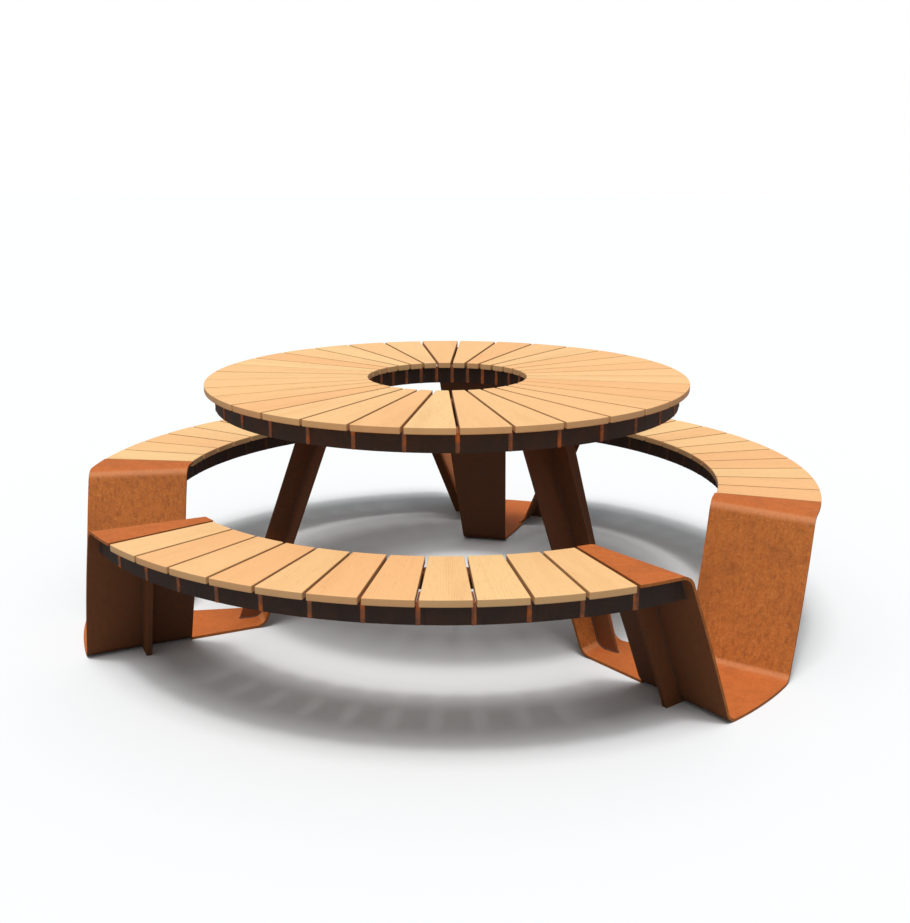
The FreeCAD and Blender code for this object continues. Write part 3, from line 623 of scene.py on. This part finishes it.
class PICNIC_OT_bench_boards(bpy.types.Operator):
    """Lay the tapered boards of the three benches."""

    bl_idname = "picnic.bench_boards"
    bl_label = "Bench boards"

    def execute(self, context):
        chance = random.Random(BENCH_SEED)
        for bench, middle in BENCHES.items():
            for k in range(BENCH_BOARDS):
                name = f"{bench}_bench_board_{k + 1:02d}"
                degrees = middle - BENCH_SPAN / 2 + (k + 0.5) * BENCH_PITCH
                lay_board(name, bench + "_bench_slats", degrees, BENCH_PITCH, chance)
        return {"FINISHED"}


# ---- Steel parts kept from the frame ----
def finish_node(name, material, edge_radius):
    """Give a kept CAD node its material and small rounded edges."""
    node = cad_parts[name]
    node.data.materials.clear()
    node.data.materials.append(bpy.data.materials[material])
    bevel = node.modifiers.new("cut_edges", "BEVEL")
    bevel.width = edge_radius
    bevel.segments = 2
    bevel.limit_method = "ANGLE"
    bevel.angle_limit = SHARP_CUT_EDGE
    shade_evenly(node)


def nodes_with(*words):
    """Names of the CAD nodes that hold any of these words."""
    return sorted(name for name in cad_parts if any(word in name for word in words))


class PICNIC_OT_supports(bpy.types.Operator):
    """Finish the folded plates and their ribs in weathering steel."""

    bl_idname = "picnic.supports"
    bl_label = "Supports"

    def execute(self, context):
        edge = context.scene.picnic_steel.edge_radius
        finishes = {
            "rust_patina": nodes_with("_support_plate"),
            # The ribs get painted shade almost all over.
            "sheltered_patina": nodes_with("_ccw_rib", "_cw_rib", "_leg_rib"),
        }
        for material, names in finishes.items():
            for name in names:
                finish_node(name, material, edge)
        return {"FINISHED"}


# ---- Weld beads ----
def touching_edges(node, surface):
    """Sharp edges of a CAD node that lie on another node's surface."""
    shape = bmesh.new()
    shape.from_mesh(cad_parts[node].data)
    bmesh.ops.remove_doubles(shape, verts=shape.verts, dist=SAME_SPOT)
    found = []
    for edge in shape.edges:
        if edge.calc_face_angle(0.0) < SHARP_WELD_EDGE:
            continue
        a, b = (vertex.co.copy() for vertex in edge.verts)
        if all(surface.find_nearest(spot, CONTACT_REACH)[0] for spot in (a, b, (a + b) / 2)):
            found.append((a, b))
    shape.free()
    return found


def joined_lines(edges):
    """Chain edges that share an end into open or closed lines of points."""
    links = {}
    for a, b in edges:
        for start, end in ((a, b), (b, a)):
            links.setdefault(start.to_tuple(5), []).append(end.to_tuple(5))
    lines = []
    while links:
        ends = [spot for spot in links if len(links[spot]) == 1]
        spot = min(ends or links)
        line = [spot]
        while links.get(spot):
            following = min(links[spot])
            links[spot].remove(following)
            links[following].remove(spot)
            line.append(following)
            spot = following
        links = {key: value for key, value in links.items() if value}
        lines.append([Vector(point) for point in line])
    return lines


def evenly_spaced(line, step):
    """Points along a line, about one step apart."""
    lengths = [0.0]
    for a, b in zip(line, line[1:]):
        lengths.append(lengths[-1] + (b - a).length)
    count = max(2, round(lengths[-1] / step))
    points = []
    k = 0
    for n in range(count + 1):
        reach = lengths[-1] * n / count
        while k < len(line) - 2 and lengths[k + 1] < reach:
            k += 1
        share = (reach - lengths[k]) / (lengths[k + 1] - lengths[k])
        points.append(line[k].lerp(line[k + 1], share))
    return points


def plate_bead_lines(nodes, plate):
    """Lines of points where the nodes touch the plate, clear of the floor."""
    look = bpy.context.scene.picnic_steel
    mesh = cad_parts[plate].data
    surface = BVHTree.FromPolygons([vertex.co for vertex in mesh.vertices],
                                   [face.vertices for face in mesh.polygons])
    lines = []
    for node in nodes:
        for line in joined_lines(touching_edges(node, surface)):
            points = evenly_spaced(line, look.weld_step)
            lines.append([point for point in points if point.z > BEAD_CLEARANCE * look.weld_radius])
    return [line for line in lines if len(line) >= SHORTEST_BEAD]


def fin_bead_lines(frame_part, gap_angles):
    """Upright lines beside every fin, on the open faces of a frame's two bands."""
    look = bpy.context.scene.picnic_steel
    outer_band = frame_part + "_outer_band"
    inner_band = frame_part + "_inner_band"
    lines = []
    for band, face in ((outer_band, radii(outer_band)[1]), (inner_band, radii(inner_band)[0])):
        low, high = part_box(band)
        bottom = low.z + FIN_BEAD_INSET * look.fin_weld_radius
        height = high.z - low.z - 2 * FIN_BEAD_INSET * look.fin_weld_radius
        count = round(height / look.weld_step)
        for degrees in gap_angles:
            across = polar(FIN_THICKNESS / 2, degrees + 90)
            for side in (1, -1):
                lines.append([polar(face, degrees, bottom + height * k / count) + side * across
                              for k in range(count + 1)])
    return lines


def lay_beads(name, lines, radius, least, material, chance):
    """One piece with a rippled bead along each line; least is its thinnest, as a share of the radius."""
    curve = bpy.data.curves.new(name, "CURVE")
    curve.dimensions = "3D"
    curve.bevel_depth = radius
    curve.bevel_resolution = 2
    curve.use_fill_caps = True
    for line in lines:
        spline = curve.splines.new("POLY")
        spline.points.add(len(line) - 1)
        for place, point in zip(spline.points, line):
            place.co = (*point, 1.0)
            place.radius = chance.uniform(least, BEAD_WIDEST)
    curve.materials.append(bpy.data.materials[material])
    piece = bpy.data.objects.new(name, curve)
    bpy.context.scene.collection.objects.link(piece)
    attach(piece, BODY)


class PICNIC_OT_welds(bpy.types.Operator):
    """Lay weld beads where ribs and brackets meet the folded plates, and beside the fins."""

    bl_idname = "picnic.welds"
    bl_label = "Welds"

    def execute(self, context):
        look = context.scene.picnic_steel
        chance = random.Random(WELD_SEED)
        for support in SUPPORTS:
            plate = support + "_support_plate"
            brackets = [node for node in nodes_with(support + "_support_", support + "_table_leg_rib")
                        if node != plate]
            lay_beads(support + "_support_welds", plate_bead_lines(brackets, plate),
                      look.weld_radius, SUPPORT_BEAD_LEAST, "weld_bead", chance)
        gaps = {"table": [SUPPORTS["rear"] + TOP_TURN + k * TABLE_PITCH for k in range(TABLE_BOARDS)]}
        for bench, middle in BENCHES.items():
            start = middle - BENCH_SPAN / 2
            gaps[bench + "_bench"] = [start + k * BENCH_PITCH for k in range(1, BENCH_BOARDS)]
        for frame_part, angles in gaps.items():
            lay_beads(frame_part + "_fin_welds", fin_bead_lines(frame_part, angles),
                      look.fin_weld_radius, FIN_BEAD_LEAST, "fin_steel", chance)
        return {"FINISHED"}


class PICNIC_OT_frames(bpy.types.Operator):
    """Finish the bands, tabs, cheeks, fins, end ribs and end plates under the boards."""

    bl_idname = "picnic.frames"
    bl_label = "Frames"

    def execute(self, context):
        edge = context.scene.picnic_steel.edge_radius
        finishes = {
            "dark_band_steel": nodes_with("_band", "_tabs", "_cheeks"),
            "fin_steel": nodes_with("_fins", "_end_ribs", "_end_plate"),
        }
        for material, names in finishes.items():
            for name in names:
                finish_node(name, material, edge)
        return {"FINISHED"}


class PICNIC_OT_fasteners(bpy.types.Operator):
    """Finish the bolts, nuts, spacers and screws."""

    bl_idname = "picnic.fasteners"
    bl_label = "Fasteners"

    def execute(self, context):
        for name in nodes_with("bolt", "nuts", "screws"):
            finish_node(name, "zinc_plate", FASTENER_EDGE)
        return {"FINISHED"}


class PICNIC_OT_finishes(bpy.types.Operator):
    """Mix the procedural materials."""

    bl_idname = "picnic.finishes"
    bl_label = "Finishes"

    def execute(self, context):
        wood_finish()
        rust_finish("rust_patina")
        # The ribs' patina, with painted shade of at least this share.
        rust_finish("sheltered_patina", RIB_SHADE)
        band_finish()
        fin_finish()
        zinc_finish()
        weld_finish()
        return {"FINISHED"}


# ---- Studio ----
class PICNIC_OT_studio(bpy.types.Operator):
    """Set up the pale floor, soft overhead light and camera."""

    bl_idname = "picnic.studio"
    bl_label = "Studio"

    def execute(self, context):
        scene = context.scene
        look = scene.picnic_studio
        scene.view_settings.view_transform = "Standard"
        self.make_floor(scene)
        self.make_light(scene, look)
        self.make_sky(scene, look)
        self.make_camera(scene, look)
        return {"FINISHED"}

    def make_floor(self, scene):
        """A wide matt floor."""
        corners = [(-1, -1), (1, -1), (1, 1), (-1, 1)]
        mesh = bpy.data.meshes.new("studio_floor")
        mesh.from_pydata([(x * FLOOR_REACH, y * FLOOR_REACH, -FLOOR_DROP) for x, y in corners],
                         [], [(0, 1, 2, 3)])
        floor = bpy.data.objects.new("studio_floor", mesh)
        scene.collection.objects.link(floor)
        material = bpy.data.materials.new("pale_floor")
        recipe = Recipe(material)
        bounce = recipe.node("ShaderNodeBsdfDiffuse", None, {"Color": opaque(FLOOR_BOUNCE)})
        seen = recipe.node("ShaderNodeBsdfDiffuse", None, {"Color": opaque(FLOOR_SEEN)})
        recipe.blend_for_camera("ShaderNodeOutputMaterial", bounce, seen)
        mesh.materials.append(material)

    def make_light(self, scene, look):
        """A soft light above the front, with a brighter core that lets the gaps' streaks show."""
        core = look.sun_strength * look.core_share
        lights = {
            "overhead": (look.sun_strength - core, look.sun_angle),
            "overhead_core": (core, look.core_angle),
        }
        for name, (strength, angle) in lights.items():
            data = bpy.data.lights.new(name, "SUN")
            data.energy = strength
            data.angle = angle
            lamp = bpy.data.objects.new(name, data)
            lamp.location = (0, 0, LAMP_HEIGHT)
            lamp.rotation_euler = (look.sun_tilt, 0, 0)
            scene.collection.objects.link(lamp)

    def make_sky(self, scene, look):
        """Even light from all round, with a white backdrop behind the object."""
        scene.world = bpy.data.worlds.new("white_studio")
        recipe = Recipe(scene.world)
        fill = recipe.node("ShaderNodeBackground", None, {
            "Strength": look.sky_strength, "Color": opaque(look.sky_colour)})
        backdrop = recipe.node("ShaderNodeBackground", None, {"Color": opaque(BACKDROP)})
        recipe.blend_for_camera("ShaderNodeOutputWorld", fill, backdrop)

    def make_camera(self, scene, look):
        """A camera at standing height in front of the table."""
        data = bpy.data.cameras.new("camera")
        data.lens = look.lens
        data.sensor_width = 36.0
        camera = bpy.data.objects.new("camera", data)
        camera.location = look.camera_spot
        camera.rotation_euler = (math.pi / 2 + look.camera_pitch, 0, look.camera_heading)
        scene.collection.objects.link(camera)
        scene.camera = camera


class PICNIC_PT_panel(bpy.types.Panel):
    """Picnic table tools"""

    bl_idname = "PICNIC_PT_panel"
    bl_label = "Picnic Table"
    bl_space_type = "VIEW_3D"
    bl_region_type = "UI"
    bl_category = "Picnic Table"

    def draw(self, context):
        scene = context.scene
        for settings in (scene.picnic_boards, scene.picnic_steel, scene.picnic_studio):
            box = self.layout.box()
            for key in settings.__annotations__:
                box.prop(settings, key)
        for operator in OPERATORS:
            self.layout.operator(operator.bl_idname)


SETTINGS = {
    "picnic_boards": BoardSettings,
    "picnic_steel": SteelSettings,
    "picnic_studio": StudioSettings,
}
OPERATORS = (
    PICNIC_OT_finishes,
    PICNIC_OT_table_boards,
    PICNIC_OT_bench_boards,
    PICNIC_OT_supports,
    PICNIC_OT_welds,
    PICNIC_OT_frames,
    PICNIC_OT_fasteners,
    PICNIC_OT_studio,
)


def register():
    """Add the settings, operators and panel."""
    for name, kind in SETTINGS.items():
        bpy.utils.register_class(kind)
        setattr(bpy.types.Scene, name, bpy.props.PointerProperty(type=kind))
    for kind in (*OPERATORS, PICNIC_PT_panel):
        bpy.utils.register_class(kind)


def unregister():
    """Take them away again."""
    for kind in (PICNIC_PT_panel, *reversed(OPERATORS)):
        bpy.utils.unregister_class(kind)
    for name, kind in SETTINGS.items():
        delattr(bpy.types.Scene, name)
        bpy.utils.unregister_class(kind)


def main():
    """Build everything in order."""
    register()
    bpy.ops.picnic.finishes()
    bpy.ops.picnic.table_boards()
    bpy.ops.picnic.bench_boards()
    bpy.ops.picnic.supports()
    bpy.ops.picnic.welds()
    bpy.ops.picnic.frames()
    bpy.ops.picnic.fasteners()
    bpy.ops.picnic.studio()


if __name__ == "__main__":
    main()
